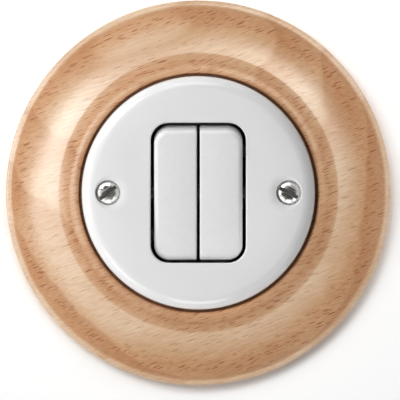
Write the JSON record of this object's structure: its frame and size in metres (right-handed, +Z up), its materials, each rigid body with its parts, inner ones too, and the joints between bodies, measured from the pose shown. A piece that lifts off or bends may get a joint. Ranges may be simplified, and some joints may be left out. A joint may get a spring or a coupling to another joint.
{
  "type": "double rocker switch",
  "caption": "Wall light switch with side-by-side rockers in a round glazed cover, set in a turned wooden frame, with its sprung contact mechanism behind.",
  "frame": {"origin": "centre of the box-screw pattern in the wall plane, on the back faces of the support plate and the wooden frame", "axes": "+Z up the wall, +X to the right seen from the front, the front faces -Y and the wall box is on +Y"},
  "size_m": [0.12, 0.0461, 0.12],
  "materials": {
    "beech": "turned, satin lacquer",
    "porcelain": "white glaze",
    "white_plastic": "moulded, glossy",
    "nickel": "nickel plated",
    "zinc_steel": "zinc plated",
    "brass": "stamped",
    "thermoset": "moulded, matt",
    "cradle_plastic": "moulded",
    "plunger_plastic": "moulded",
    "spring_steel": "drawn wire",
    "silver_alloy": "rolled contact alloy"
  },
  "bodies": {
    "housing": {"wooden_frame": "beech", "cover_plate": "porcelain", "cover_screws": "nickel", "support_plate": "zinc_steel", "threaded_pillars": "brass", "rocker_carrier": "thermoset", "axle_pin": "zinc_steel", "base_screws": "zinc_steel", "switch_base": "thermoset", "common_contact": "brass", "fixed_contact_left": "brass", "fixed_contact_right": "brass", "fixed_contact_tips": "silver_alloy", "terminal_plates": "zinc_steel", "terminal_screws": "zinc_steel"},
    "rocker_left": {"rocker_cap_left": "white_plastic", "rocker_cradle_left": "cradle_plastic", "plunger_spring_left": "spring_steel"},
    "plunger_left": {"plunger_left": "plunger_plastic"},
    "lever_left": {"contact_lever_left": "brass", "moving_contact_left": "silver_alloy"},
    "rocker_right": {"rocker_cap_right": "white_plastic", "rocker_cradle_right": "cradle_plastic", "plunger_spring_right": "spring_steel"},
    "plunger_right": {"plunger_right": "plunger_plastic"},
    "lever_right": {"contact_lever_right": "brass", "moving_contact_right": "silver_alloy"}
  },
  "joints": [
    {"name": "rocker_left_tilt", "type": "hinge", "parent": "housing", "child": "rocker_left", "pos_m": [-0.00707, -0.01567, 0], "axis": [1, 0, 0], "range_deg": [-12, 0]},
    {"name": "plunger_left_slide", "type": "slide", "parent": "rocker_left", "child": "plunger_left", "axis": [0, 0.9945, 0.1045], "range_m": [-0.0008, 0], "stiffness_N_per_m": 100, "springref_m": 0.001, "deforming": ["plunger_spring_left"]},
    {"name": "contact_lever_left_tilt", "type": "hinge", "parent": "housing", "child": "lever_left", "pos_m": [-0.00707, 0.007, 0], "axis": [1, 0, 0], "range_deg": [0, 16]},
    {"name": "rocker_right_tilt", "type": "hinge", "parent": "housing", "child": "rocker_right", "pos_m": [0.00707, -0.01567, 0], "axis": [1, 0, 0], "range_deg": [-12, 0]},
    {"name": "plunger_right_slide", "type": "slide", "parent": "rocker_right", "child": "plunger_right", "axis": [0, 0.9945, 0.1045], "range_m": [-0.0008, 0], "stiffness_N_per_m": 100, "springref_m": 0.001, "deforming": ["plunger_spring_right"]},
    {"name": "contact_lever_right_tilt", "type": "hinge", "parent": "housing", "child": "lever_right", "pos_m": [0.00707, 0.007, 0], "axis": [1, 0, 0], "range_deg": [0, 16]}
  ],
  "couplings": [
    {"joint": "contact_lever_left_tilt", "follows": "rocker_left_tilt", "ratio": -1.3333},
    {"joint": "contact_lever_right_tilt", "follows": "rocker_right_tilt", "ratio": -1.3333}
  ]
}
